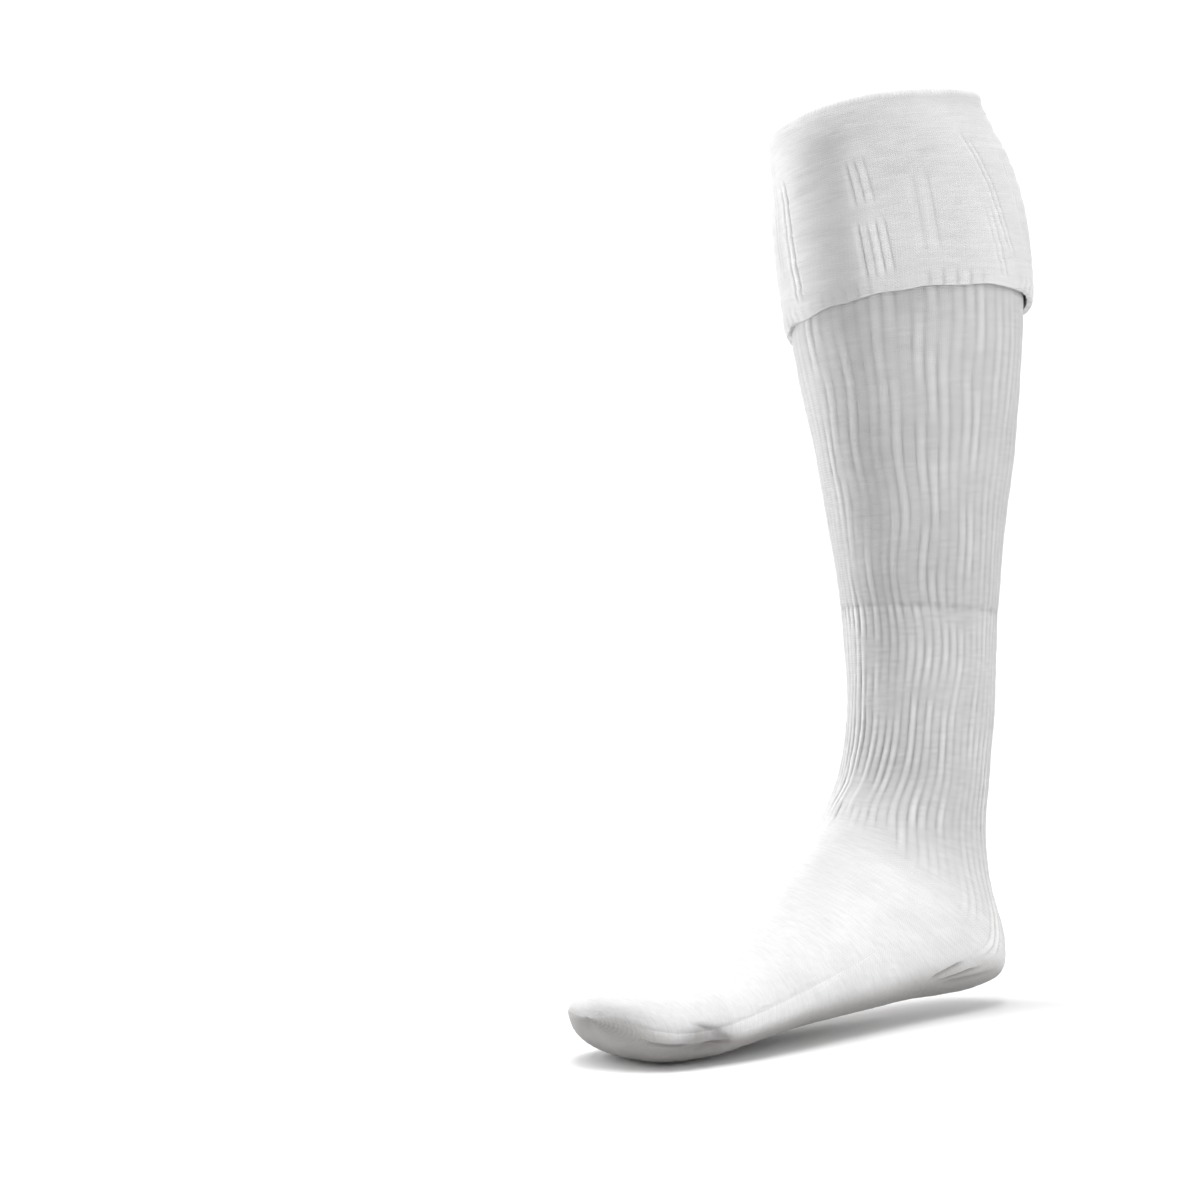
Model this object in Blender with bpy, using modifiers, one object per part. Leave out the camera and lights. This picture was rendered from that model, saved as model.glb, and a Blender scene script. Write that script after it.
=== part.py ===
"""A knee-high knitted sock with a turned-over cuff, in the form that it takes on a leg.

The sock stands upright: the leg runs up +Z, the toes point to -Y and the outer side of the
left foot is +X. The origin lies on the inner face of the sole, under the leg's axis.
All lengths are in metres.
"""
import math

import bpy
import bmesh
from mathutils import Vector

# Sizes of the worn sock, measured on its outer face.
RIM_HEIGHT = 0.437          # sole plane to the top of the leg, on the leg's axis
CUFF_DROP = 0.1021          # top of the cuff to the turned-down lower edge, on average
CUFF_EDGE_SLANT = 0.0180    # the turned-down edge hangs this much lower on the inner side
EDGE_HIGH_ANGLE = 110.0     # degrees from the heel to where that edge is highest
RIM_BOW = 0.006             # the rim stands this much higher between its front and outer side
BOW_ANGLE = 148.0           # degrees from the heel, towards the outer side
BAND_LEVEL = 0.1883         # height of the band where the ribs change
BAND_RISE = 0.009           # the band stands this much higher at the front
CALF_DEPTH = 0.120
CALF_WIDTH = 0.117
ANKLE_DEPTH = 0.075
ANKLE_WIDTH = 0.0685
INSTEP_HEIGHT = 0.097       # where the leg bends into the foot
TOE_REACH = 0.219           # leg's axis to the tip of the toes
HEEL_REACH = 0.0357         # leg's axis to the back of the heel
HEEL_WIDTH = 0.068
BALL_WIDTH = 0.0955
TOE_CAP_LENGTH = 0.046      # tip of the toes back to the toe seam

# Walls and clearances.
LEG_WALL = 0.0022
FOOT_WALL = 0.0025
CUFF_WALL = 0.0021
CUFF_AIR = 0.0021           # between the turned-down layer and the leg
JOIN_GAP = 0.0003           # between two knitted sections
CUFF_LAP = 0.018            # how far the calf runs up behind the turned-down layer

# How finely each section is divided.
AROUND = 48
CUFF_RINGS = 4
FOLD_RINGS = 4
CALF_RINGS = 6
ANKLE_RINGS = 14
HEEL_CROWDING = 1.25        # above 1, the ankle's rings lie closer together at the heel
FOOT_RINGS = 10
TOE_RINGS = 4
JOIN_BAND = 0.003           # a short band at each join keeps the two walls parallel there
DIRECTION_STEP = 0.002      # distance over which a direction on the surface is taken

# The leg, from the rim down. level and tilt are shares of RIM_HEIGHT, fullness runs from the
# ankle's depth (0) to the calf's (1), breadth does the same for the width, lean is the shift
# of the middle towards the back as a share of CALF_DEPTH, and side is the shift to the outer
# side as a share of ANKLE_WIDTH.
LEG_COLUMNS = ("level", "tilt", "fullness", "breadth", "lean", "side")
LEG_ROWS = (
    (1.000, 0.038, 0.41, 0.78, -0.104, 0.00),     # rim
    (0.920, 0.030, 0.83, 0.96, -0.018, 0.00),
    (0.830, 0.010, 1.00, 1.00, 0.018, 0.00),      # fullest part of the calf
    (0.723, 0.008, 0.88, 0.86, 0.015, 0.01),
    (0.616, 0.005, 0.59, 0.57, 0.010, 0.02),
    (0.510, 0.002, 0.29, 0.28, -0.008, 0.02),
    (0.415, 0.000, 0.09, 0.09, -0.023, 0.02),
    (0.320, -0.004, 0.01, 0.00, -0.044, 0.00),    # above the ankle
)

# The ankle and the foot, from the bend to the tip. Each row is one ring, from its upper point
# on the instep to its lower point on the heel or the sole. The reaches forward are shares of
# TOE_REACH and the reaches back are shares of HEEL_REACH, the heights are shares of
# INSTEP_HEIGHT, half is a share of half the width that the row follows, side is the shift to
# the outer side as a share of BALL_WIDTH, and square is the exponent of the sole's corners.
FOOT_COLUMNS = ("top_reach", "top_height", "low_reach", "low_height", "ball", "half", "side", "square")
FOOT_ROWS = (
    (0.224, 1.144, -0.830, 1.082, 0.00, 1.00, -0.030, 2.0),
    (0.262, 1.000, -0.770, 0.804, 0.00, 1.01, -0.042, 2.0),   # bend of the instep
    (0.287, 0.918, -0.810, 0.505, 0.00, 1.02, -0.046, 2.0),
    (0.315, 0.856, -1.000, 0.206, 0.00, 1.00, -0.044, 2.0),   # back of the heel
    (0.333, 0.820, -0.930, 0.042, 0.00, 1.00, -0.038, 2.0),
    (0.361, 0.773, -0.470, -0.014, 0.00, 1.01, -0.030, 2.0),
    (0.398, 0.711, 0.037, -0.022, 0.00, 1.02, -0.021, 2.1),
    (0.442, 0.639, 0.166, -0.014, 0.10, 1.00, 0.000, 2.2),
    (0.505, 0.526, 0.336, -0.027, 0.40, 1.00, 0.010, 2.4),    # waist of the foot
    (0.585, 0.412, 0.507, -0.036, 0.75, 1.00, 0.016, 2.7),
    (0.677, 0.320, 0.664, -0.060, 1.00, 1.00, 0.021, 3.0),    # ball of the foot
    (0.783, 0.252, 0.790, -0.092, 1.00, 0.98, 0.042, 3.0),
    (0.882, 0.226, 0.880, -0.082, 1.00, 0.88, 0.060, 3.0),
    (0.946, 0.230, 0.928, -0.030, 1.00, 0.70, 0.064, 2.7),
    (0.984, 0.222, 0.964, 0.058, 1.00, 0.44, 0.062, 2.3),     # blunt end of the toes
)

# Shallow dents (depth below 0) and swellings (above 0). along is a share of the way from the
# rim to the tip, around is the angle in degrees from the heel or sole towards the outer side,
# length is a share of RIM_HEIGHT, breadth an angle in degrees, depth a share of LEG_WALL.
DENT_COLUMNS = ("along", "around", "length", "breadth", "depth")
DENTS = (
    (0.610, 28.0, 0.10, 20.0, -0.9),     # hollows beside the heel tendon
    (0.610, -28.0, 0.10, 20.0, -0.9),
    (0.655, 92.0, 0.06, 30.0, 0.7),      # over the ankle bones
    (0.645, -92.0, 0.06, 30.0, 0.7),
    (0.835, -60.0, 0.12, 34.0, -1.0),    # arch of the foot
    (0.950, 62.0, 0.05, 22.0, -0.8),     # crease under the little toe
)


def rows_as_rings():
    """Turns both tables into rings: upper point, lower point, half width, side shift, corners."""
    rings = []
    for values in LEG_ROWS:
        row = dict(zip(LEG_COLUMNS, values))
        depth = ANKLE_DEPTH + row["fullness"] * (CALF_DEPTH - ANKLE_DEPTH)
        width = ANKLE_WIDTH + row["breadth"] * (CALF_WIDTH - ANKLE_WIDTH)
        middle = row["lean"] * CALF_DEPTH
        height = row["level"] * RIM_HEIGHT
        rise = row["tilt"] * RIM_HEIGHT / 2
        rings.append((
            middle - depth / 2, height - rise, middle + depth / 2, height + rise,
            width / 2, row["side"] * ANKLE_WIDTH, 2.0,
        ))
    for values in FOOT_ROWS:
        row = dict(zip(FOOT_COLUMNS, values))
        low = -row["low_reach"] * (TOE_REACH if row["low_reach"] > 0 else HEEL_REACH)
        width = HEEL_WIDTH + row["ball"] * (BALL_WIDTH - HEEL_WIDTH)
        rings.append((
            -row["top_reach"] * TOE_REACH, row["top_height"] * INSTEP_HEIGHT,
            low, row["low_height"] * INSTEP_HEIGHT,
            row["half"] * width / 2, row["side"] * BALL_WIDTH, row["square"],
        ))
    return rings


RINGS = rows_as_rings()


def distances():
    """Distance along the sock of each ring, down the middle line."""
    middles = [Vector((0, (r[0] + r[2]) / 2, (r[1] + r[3]) / 2)) for r in RINGS]
    out = [0.0]
    for before, after in zip(middles, middles[1:]):
        out.append(out[-1] + (after - before).length)
    return out


ALONG = distances()
LENGTH = ALONG[-1]


def ring_at(along):
    """The ring at a distance along the sock, on a smooth curve through the table's rings."""
    index = 0
    while index < len(ALONG) - 2 and along > ALONG[index + 1]:
        index += 1
    span = ALONG[index + 1] - ALONG[index]
    t = (along - ALONG[index]) / span
    values = []
    for column in range(7):
        a, b = RINGS[index][column], RINGS[index + 1][column]
        slope_a = slope_b = (b - a) / span
        if index > 0:
            slope_a = (b - RINGS[index - 1][column]) / (ALONG[index + 1] - ALONG[index - 1])
        if index < len(ALONG) - 2:
            slope_b = (RINGS[index + 2][column] - a) / (ALONG[index + 2] - ALONG[index])
        h00 = 2 * t ** 3 - 3 * t ** 2 + 1
        h10 = t ** 3 - 2 * t ** 2 + t
        h01 = 3 * t ** 2 - 2 * t ** 3
        h11 = t ** 3 - t ** 2
        values.append(h00 * a + h10 * span * slope_a + h01 * b + h11 * span * slope_b)
    return values


def bare_point(along, angle):
    """A point of the outer face; the angle starts at the heel and turns to the outer side."""
    top_y, top_z, low_y, low_z, half, side, square = ring_at(along)
    c, s = math.cos(angle), math.sin(angle)
    power = 2 / square if c > 0 else 1.0
    across = math.copysign(abs(s) ** power, s)
    down = math.copysign(abs(c) ** power, c)
    return Vector((
        side + half * across,
        (top_y + low_y) / 2 + down * (low_y - top_y) / 2,
        (top_z + low_z) / 2 + down * (low_z - top_z) / 2,
    ))


def outward(along, angle):
    """Outward direction of the bare surface."""
    step, turn = DIRECTION_STEP, 0.06
    lengthways = bare_point(min(along + step, LENGTH), angle) - bare_point(max(along - step, 0.0), angle)
    around = bare_point(along, angle + turn) - bare_point(along, angle - turn)
    return around.cross(lengthways).normalized()


def dent_at(along, angle):
    """Height of the dents and swellings over the bare surface."""
    total = 0.0
    for values in DENTS:
        dent = dict(zip(DENT_COLUMNS, values))
        far = (along - dent["along"] * LENGTH) / (dent["length"] * RIM_HEIGHT / 2)
        off = math.degrees(angle) - dent["around"]
        off = ((off + 180) % 360 - 180) / dent["breadth"]
        total += dent["depth"] * LEG_WALL * math.exp(-far ** 2 - off ** 2)
    return total


def surface_point(along, angle):
    return bare_point(along, angle) + outward(along, angle) * dent_at(along, angle)


def along_for_height(height):
    """Distance along the sock at which the leg's middle stands at a height."""
    low, high = 0.0, ALONG[len(LEG_ROWS) - 1]
    for _ in range(40):
        middle = (low + high) / 2
        ring = ring_at(middle)
        if (ring[1] + ring[3]) / 2 > height:
            low = middle
        else:
            high = middle
    return (low + high) / 2


CUFF_EDGE = along_for_height(RIM_HEIGHT - CUFF_DROP)
CALF_TOP = CUFF_EDGE - CUFF_LAP
BAND = along_for_height(BAND_LEVEL)
BORDER = ALONG[len(LEG_ROWS) + 6]       # from the instep to the sole in front of the heel
TOE_SEAM = LENGTH - TOE_CAP_LENGTH


def level_line(along, rise):
    """A line around the leg that stands higher at the front by the rise."""
    return lambda angle: along + rise / 2 * math.cos(angle)


def angles():
    return [2 * math.pi * k / AROUND for k in range(AROUND)]


def grid_mesh(name, rings, pole=None):
    """An open surface through the rings, with its faces pointing outwards."""
    bm = bmesh.new()
    rows = [[bm.verts.new(point) for point in ring] for ring in rings]
    for upper, lower in zip(rows, rows[1:]):
        for k in range(AROUND):
            n = (k + 1) % AROUND
            bm.faces.new((upper[k], upper[n], lower[n], lower[k]))
    if pole is not None:
        tip = bm.verts.new(pole)
        for k in range(AROUND):
            bm.faces.new((rows[-1][k], rows[-1][(k + 1) % AROUND], tip))
    mesh = bpy.data.meshes.new(name)
    bm.to_mesh(mesh)
    bm.free()
    mesh.shade_smooth()
    return mesh


def knit_material(name, colour, roughness):
    material = bpy.data.materials.new(name)
    material.use_nodes = True
    shader = material.node_tree.nodes["Principled BSDF"]
    shader.inputs["Base Color"].default_value = (*colour, 1.0)
    shader.inputs["Roughness"].default_value = roughness
    shader.inputs["Metallic"].default_value = 0.0
    return material


def shell(name, mesh, wall, offset, material):
    piece = bpy.data.objects.new(name, mesh)
    sock.objects.link(piece)
    mesh.materials.append(material)
    solidify = piece.modifiers.new("Knit thickness", "SOLIDIFY")
    solidify.thickness = wall
    solidify.offset = offset
    solidify.use_even_offset = True
    solidify.use_rim = True
    return piece


def shares_along(length, count, joined_end, crowding):
    """Where the rings lie between a tube's two ends, with a short band at each join."""
    first = JOIN_BAND / length
    last = 1 - first if joined_end else 1.0
    shares = [0.0]
    for row in range(count + 1):
        shares.append(first + (last - first) * (1 - (1 - row / count) ** crowding))
    if joined_end:
        shares.append(1.0)
    return shares


def tube(name, start, end, count, wall, material, pole=None, crowding=1.0):
    """A knitted tube between two lines around the sock."""
    rings = []
    length = end(math.pi / 2) - start(math.pi / 2)
    for row, share in enumerate(shares_along(length, count, pole is None, crowding)):
        ring = []
        for angle in angles():
            along = start(angle) * (1 - share) + end(angle) * share
            point = surface_point(along, angle)
            if row == 0:
                further = surface_point(along + DIRECTION_STEP, angle)
                point = point + (further - point).normalized() * JOIN_GAP
            ring.append(point)
        rings.append(ring)
    return shell(name, grid_mesh(name, rings, pole), wall, -1.0, material)


def cuff(name, material):
    """The leg's top, rising inside, folded over at the rim and turned down outside."""
    inner = -CUFF_WALL / 2
    outer = CUFF_AIR + CUFF_WALL / 2
    radius = (outer - inner) / 2
    crown = CUFF_WALL / 2 + radius
    path = []
    for row in range(CUFF_RINGS):
        share = row / CUFF_RINGS
        path.append((CALF_TOP * (1 - share) + crown * share, inner, 0.0))
    for row in range(FOLD_RINGS + 1):
        turn = math.pi * (1 - row / FOLD_RINGS)
        path.append((crown, (inner + outer) / 2 + radius * math.cos(turn), radius * math.sin(turn)))
    for row in range(1, CUFF_RINGS + 2):
        share = row / (CUFF_RINGS + 1)
        path.append((crown * (1 - share) + CUFF_EDGE * share, outer, 0.0))
    rings = []
    for along, aside, up in path:
        ring = []
        for angle in angles():
            share = (along - crown) / (CUFF_EDGE - crown) if aside > 0 else 0.0
            slant = CUFF_EDGE_SLANT / 2 * math.cos(angle - math.radians(EDGE_HIGH_ANGLE))
            place = along - share * slant
            bow = max(0.0, math.cos(angle - math.radians(BOW_ANGLE))) ** 2
            lift = RIM_BOW * bow * max(0.0, 1 - along / CALF_TOP)
            if aside > 0:
                lift = RIM_BOW * bow * (1 - share)
            out = outward(place, angle)
            out = Vector((out.x, out.y, 0.0)).normalized()
            ring.append(surface_point(place, angle) + out * aside + Vector((0, 0, up + lift)))
        rings.append(ring)
    return shell(name, grid_mesh(name, rings), CUFF_WALL, 0.0, material)


for old in list(bpy.data.objects):
    bpy.data.objects.remove(old, do_unlink=True)

sock = bpy.data.collections.new("turnover_cuff_sock")
bpy.context.scene.collection.children.link(sock)

cuff("turnover_cuff", knit_material("cuff_knit", (0.70, 0.69, 0.69), 0.88))
tube("calf", lambda a: CALF_TOP, level_line(BAND, BAND_RISE), CALF_RINGS, LEG_WALL,
     knit_material("calf_rib_knit", (0.64, 0.63, 0.62), 0.90))
tube("ankle_and_heel", level_line(BAND, BAND_RISE), lambda a: BORDER, ANKLE_RINGS, LEG_WALL,
     knit_material("ankle_rib_knit", (0.62, 0.61, 0.61), 0.90), crowding=HEEL_CROWDING)
tube("foot", lambda a: BORDER, lambda a: TOE_SEAM, FOOT_RINGS, FOOT_WALL,
     knit_material("foot_plain_knit", (0.74, 0.73, 0.73), 0.88))
tip_ring = RINGS[-1]
tip = Vector((
    tip_ring[5],
    -TOE_REACH,
    (tip_ring[1] + tip_ring[3]) / 2,
))
tube("toe_cap", lambda a: TOE_SEAM, lambda a: LENGTH, TOE_RINGS, FOOT_WALL,
     knit_material("toe_plain_knit", (0.62, 0.61, 0.60), 0.88), pole=tip)
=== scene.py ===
# %% [markdown]
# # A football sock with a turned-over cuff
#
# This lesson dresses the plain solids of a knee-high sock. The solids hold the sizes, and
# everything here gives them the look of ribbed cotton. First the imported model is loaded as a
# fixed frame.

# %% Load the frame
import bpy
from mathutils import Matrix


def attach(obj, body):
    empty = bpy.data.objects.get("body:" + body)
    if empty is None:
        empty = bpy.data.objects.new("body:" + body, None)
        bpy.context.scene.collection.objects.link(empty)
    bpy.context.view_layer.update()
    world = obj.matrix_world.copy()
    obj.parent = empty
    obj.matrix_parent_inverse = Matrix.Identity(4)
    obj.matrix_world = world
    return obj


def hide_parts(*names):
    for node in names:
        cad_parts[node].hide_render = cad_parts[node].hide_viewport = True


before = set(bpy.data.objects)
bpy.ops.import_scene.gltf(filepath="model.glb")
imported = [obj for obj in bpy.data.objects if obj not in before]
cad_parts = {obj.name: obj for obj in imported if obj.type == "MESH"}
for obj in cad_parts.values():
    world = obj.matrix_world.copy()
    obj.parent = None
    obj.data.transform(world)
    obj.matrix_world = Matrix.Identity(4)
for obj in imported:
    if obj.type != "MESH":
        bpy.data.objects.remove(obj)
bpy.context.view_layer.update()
print("solids:", sorted(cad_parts))

# %% Tools
import math

import bmesh
import bpy
import numpy as np
from mathutils import Matrix, Vector

# %% [markdown]
# ## The form of the leg and the foot
#
# A worn sock is a skin over a leg, so one rule can give every point of it. Each row of the
# two tables is a ring around the leg or the foot: the rings lie flat on the leg, tilt at the
# ankle and stand upright on the foot. A point is then named by how far along the sock it lies
# and by its angle, from the heel (0) by way of the outer side (90 degrees) to the front (180).

# %% Sizes of the worn sock, in metres
RIM_HEIGHT = 0.437
CUFF_DROP = 0.1021
CUFF_EDGE_SLANT = 0.018
EDGE_HIGH_ANGLE = math.radians(110.0)
RIM_BOW = 0.006
BOW_ANGLE = math.radians(148.0)
BAND_LEVEL = 0.1883
BAND_RISE = 0.009
CALF_DEPTH, CALF_WIDTH = 0.120, 0.117
ANKLE_DEPTH, ANKLE_WIDTH = 0.075, 0.0685
INSTEP_HEIGHT = 0.097
TOE_REACH, HEEL_REACH = 0.219, 0.0357
HEEL_WIDTH, BALL_WIDTH = 0.068, 0.0955
TOE_CAP_LENGTH = 0.046
LEG_WALL, FOOT_WALL, CUFF_WALL, CUFF_AIR = 0.0022, 0.0025, 0.0021, 0.0021
CUFF_LAP = 0.018

# %% Rings of the leg: level, tilt, fullness, breadth, lean, side
LEG_RINGS = (
    (1.000, 0.038, 0.41, 0.78, -0.104, 0.00),
    (0.920, 0.030, 0.83, 0.96, -0.018, 0.00),
    (0.830, 0.010, 1.00, 1.00, 0.018, 0.00),
    (0.723, 0.008, 0.88, 0.86, 0.015, 0.01),
    (0.616, 0.005, 0.59, 0.57, 0.010, 0.02),
    (0.510, 0.002, 0.29, 0.28, -0.008, 0.02),
    (0.415, 0.000, 0.09, 0.09, -0.023, 0.02),
    (0.320, -0.004, 0.01, 0.00, -0.044, 0.00),
)

# %% Rings of the foot: top reach and height, low reach and height, ball, half, side, square
FOOT_RINGS = (
    (0.224, 1.144, -0.830, 1.082, 0.00, 1.00, -0.030, 2.0),
    (0.262, 1.000, -0.770, 0.804, 0.00, 1.01, -0.042, 2.0),
    (0.287, 0.918, -0.810, 0.505, 0.00, 1.02, -0.046, 2.0),
    (0.315, 0.856, -1.000, 0.206, 0.00, 1.00, -0.044, 2.0),
    (0.333, 0.820, -0.930, 0.042, 0.00, 1.00, -0.038, 2.0),
    (0.361, 0.773, -0.470, -0.014, 0.00, 1.01, -0.030, 2.0),
    (0.398, 0.711, 0.037, -0.022, 0.00, 1.02, -0.021, 2.1),
    (0.442, 0.639, 0.166, -0.014, 0.10, 1.00, 0.000, 2.2),
    (0.505, 0.526, 0.336, -0.027, 0.40, 1.00, 0.010, 2.4),
    (0.585, 0.412, 0.507, -0.036, 0.75, 1.00, 0.016, 2.7),
    (0.677, 0.320, 0.664, -0.060, 1.00, 1.00, 0.021, 3.0),
    (0.783, 0.252, 0.790, -0.092, 1.00, 0.98, 0.042, 3.0),
    (0.882, 0.226, 0.880, -0.082, 1.00, 0.88, 0.060, 3.0),
    (0.946, 0.230, 0.928, -0.030, 1.00, 0.70, 0.064, 2.7),
    (0.984, 0.222, 0.964, 0.058, 1.00, 0.44, 0.062, 2.3),
)

# %% Both tables as one list of rings
def all_rings():
    rings = []
    for level, tilt, fullness, breadth, lean, side in LEG_RINGS:
        depth = ANKLE_DEPTH + fullness * (CALF_DEPTH - ANKLE_DEPTH)
        width = ANKLE_WIDTH + breadth * (CALF_WIDTH - ANKLE_WIDTH)
        middle, height, rise = lean * CALF_DEPTH, level * RIM_HEIGHT, tilt * RIM_HEIGHT / 2
        rings.append((middle - depth / 2, height - rise, middle + depth / 2, height + rise,
                      width / 2, side * ANKLE_WIDTH, 2.0))
    for top, top_z, low, low_z, ball, half, side, square in FOOT_RINGS:
        width = HEEL_WIDTH + ball * (BALL_WIDTH - HEEL_WIDTH)
        rings.append((-top * TOE_REACH, top_z * INSTEP_HEIGHT,
                      -low * (TOE_REACH if low > 0 else HEEL_REACH), low_z * INSTEP_HEIGHT,
                      half * width / 2, side * BALL_WIDTH, square))
    return np.array(rings)


RINGS = all_rings()
middles = (RINGS[:, 0:2] + RINGS[:, 2:4]) / 2
ALONG = np.concatenate([[0.0], np.cumsum(np.linalg.norm(np.diff(middles, axis=0), axis=1))])
LENGTH = ALONG[-1]
print("the sock is", round(LENGTH * 1000), "mm long down its middle line")

# %% [markdown]
# Between two rings of the table the form has to flow, as a stretched knit does. A cubic curve
# through the rings, with slopes taken from their neighbours, gives that without a ripple.

# %% A ring at any distance along the sock
SPAN = np.diff(ALONG)[:, None]
SLOPES = np.empty_like(RINGS)
SLOPES[1:-1] = (RINGS[2:] - RINGS[:-2]) / (ALONG[2:] - ALONG[:-2])[:, None]


def ring_at(along):
    i = np.clip(np.searchsorted(ALONG, along) - 1, 0, len(ALONG) - 2)
    span = SPAN[i]
    t = ((along - ALONG[i])[:, None]) / span
    a, b = RINGS[i], RINGS[i + 1]
    chord = (b - a) / span
    slope_a = np.where((i > 0)[:, None], SLOPES[i], chord)
    following = np.minimum(i + 1, len(ALONG) - 1)
    slope_b = np.where((i < len(ALONG) - 2)[:, None], SLOPES[following], chord)
    return ((2 * t ** 3 - 3 * t ** 2 + 1) * a + (t ** 3 - 2 * t ** 2 + t) * span * slope_a
            + (3 * t ** 2 - 2 * t ** 3) * b + (t ** 3 - t ** 2) * span * slope_b)


# %% [markdown]
# A point of the skin needs a direction as well, because ribs stand out along it. It is square
# to two short steps from the point, one around the sock and one down it.

# %% Points and outward directions of the skin
SIDE_STEP, SIDE_TURN = 0.002, 0.05


def bare_skin(along, angle):
    values = ring_at(np.clip(along, 0.0, LENGTH))
    top_y, top_z, low_y, low_z, half, side, square = values.T
    c, s = np.cos(angle), np.sin(angle)
    power = np.where(c > 0, 2 / square, 1.0)
    across = np.sign(s) * np.abs(s) ** power
    down = np.sign(c) * np.abs(c) ** power
    return np.stack([side + half * across,
                     (top_y + low_y) / 2 + down * (low_y - top_y) / 2,
                     (top_z + low_z) / 2 + down * (low_z - top_z) / 2], axis=1)


def outward(along, angle):
    lengthways = bare_skin(along + SIDE_STEP, angle) - bare_skin(along - SIDE_STEP, angle)
    around = bare_skin(along, angle + SIDE_TURN) - bare_skin(along, angle - SIDE_TURN)
    n = np.cross(around, lengthways)
    return n / np.maximum(np.linalg.norm(n, axis=1, keepdims=True), 1e-9)


# %% [markdown]
# A leg isn't a smooth pipe. The knit sinks a little beside the tendon of the heel, at the arch
# and under the little toe, and it swells over the ankle bones. The solids have the same dents,
# so the dressed sock keeps close to them.

# %% Hollows by the heel tendon, the ankle bones, the arch and the little toe
DENTS = (
    # share of the way along, degrees, length as a share of the rim's height,
    # breadth in degrees, depth in walls
    (0.610, 28.0, 0.10, 20.0, -0.9),
    (0.610, -28.0, 0.10, 20.0, -0.9),
    (0.655, 92.0, 0.06, 30.0, 0.7),
    (0.645, -92.0, 0.06, 30.0, 0.7),
    (0.835, -60.0, 0.12, 34.0, -1.0),
    (0.950, 62.0, 0.05, 22.0, -0.8),
)


def turned(angle, centre):
    """Signed degrees from a centre angle, whichever way round is shorter."""
    return (np.degrees(angle) - centre + 180) % 360 - 180


def dents(along, angle):
    total = np.zeros_like(along)
    for where, centre, length, breadth, depth in DENTS:
        far = (along - where * LENGTH) / (length * RIM_HEIGHT / 2)
        off = turned(angle, centre) / breadth
        total += depth * LEG_WALL * np.exp(-far ** 2 - off ** 2)
    return total


# %% [markdown]
# The sections are told apart by distance along the sock. Some of their borders are known by
# height on the leg, so a height has to be turned into a distance first.

# %% Where the knitted sections begin and end
def along_for_height(height):
    fine = np.linspace(0.0, ALONG[len(LEG_RINGS) - 1], 4000)
    rings = ring_at(fine)
    level = (rings[:, 1] + rings[:, 3]) / 2
    return float(np.interp(-height, -level, fine))


CUFF_EDGE = along_for_height(RIM_HEIGHT - CUFF_DROP)
CALF_TOP = CUFF_EDGE - CUFF_LAP
BAND = along_for_height(BAND_LEVEL)
BORDER = ALONG[len(LEG_RINGS) + 6]
TOE_SEAM = LENGTH - TOE_CAP_LENGTH
print("cuff edge, band, border, toe seam, in mm:",
      [round(v * 1000) for v in (CUFF_EDGE, BAND, BORDER, TOE_SEAM)])

# %% [markdown]
# ## The relief of the knit
#
# Ribs are columns of stitches that stand forward, with a valley on each side. The machine
# makes the same number of ribs all the way down, so they are wide on the calf and close at the
# ankle. No hand-pulled sock has perfect ribs, so each rib has its own strength and wavers a
# little. All of it is kept as a height over the skin, which both neighbours of a join share.

# %% Soft waves that close around the leg
def waver(along, angle, turns, length, seed, count=14):
    """Smooth random waves: at most so many turns around and about one wave per length."""
    rng = np.random.default_rng(seed)
    total = np.zeros_like(along)
    for _ in range(count):
        k = rng.integers(-turns, turns + 1)
        m = rng.normal() * 2 * math.pi / length
        total += np.cos(k * angle + m * along + rng.uniform(0, 2 * math.pi))
    return total / math.sqrt(count / 2)


def step(value, low, high):
    t = np.clip((value - low) / (high - low), 0, 1)
    return t * t * (3 - 2 * t)


# %% [markdown]
# Above the band the ribs are faint and come and go. Below it they are deep, strongest at the
# front where the ankle bends, and they run out in a slanting line from the instep to the heel.

# %% Ribs
RIBS = 56
rib_rng = np.random.default_rng(11)
RIB_STRENGTH = rib_rng.uniform(0.15, 1.0, RIBS)
RIB_FAINT = np.clip(rib_rng.normal(0.42, 0.55, RIBS), 0.0, 1.1)
RIB_WAVE = rib_rng.uniform(0.045, 0.11, RIBS)
RIB_PHASE = rib_rng.uniform(0, 2 * math.pi, RIBS)
RIB_END = rib_rng.uniform(-0.012, 0.010, RIBS)
RIB_END_FRONT, RIB_END_BACK = 0.362, 0.400
DEEP_RIB, FAINT_RIB = 0.00086, 0.00058
BAND_EDGE = 0.0015


def band_line(angle):
    return BAND + BAND_RISE / 2 * np.cos(angle)


def rib_end(angle):
    """Where the ribs run out, from the instep at the front to the heel at the back."""
    share = np.clip(1 + np.cos(angle), 0, 1)
    return RIB_END_FRONT + (RIB_END_BACK - RIB_END_FRONT) * share ** 0.6


def ribs(along, angle):
    phase = angle * RIBS / (2 * math.pi) + 0.20 * waver(along, angle, 3, 0.09, 5)
    k = np.floor(phase).astype(int)
    f = phase - k
    k = k % RIBS
    swell = 1 + 0.45 * np.sin(2 * math.pi * along / RIB_WAVE[k] + RIB_PHASE[k])
    crest = np.sin(math.pi * f) ** 0.6 - 0.66
    below = step(along, band_line(angle) - BAND_EDGE, band_line(angle) + BAND_EDGE)
    last = rib_end(angle) + RIB_END[k]
    over_end = 1 - step(along, last - 0.014, last + 0.004)
    front = 0.72 + 1.0 * np.exp(-(turned(angle, 185) / 38) ** 2)
    patches = np.clip(0.95 + 0.42 * waver(along, angle, 9, 0.035, 7, 24), 0.15, 1.7)
    deep = DEEP_RIB * RIB_STRENGTH[k] * swell * front * patches
    patchy = RIB_FAINT[k] * np.clip(swell * 2.2 - 1.2, 0.0, 1.3)
    faint = FAINT_RIB * (0.30 + 0.85 * patchy)
    return crest * (faint * (1 - below) + deep * below) * over_end


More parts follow.
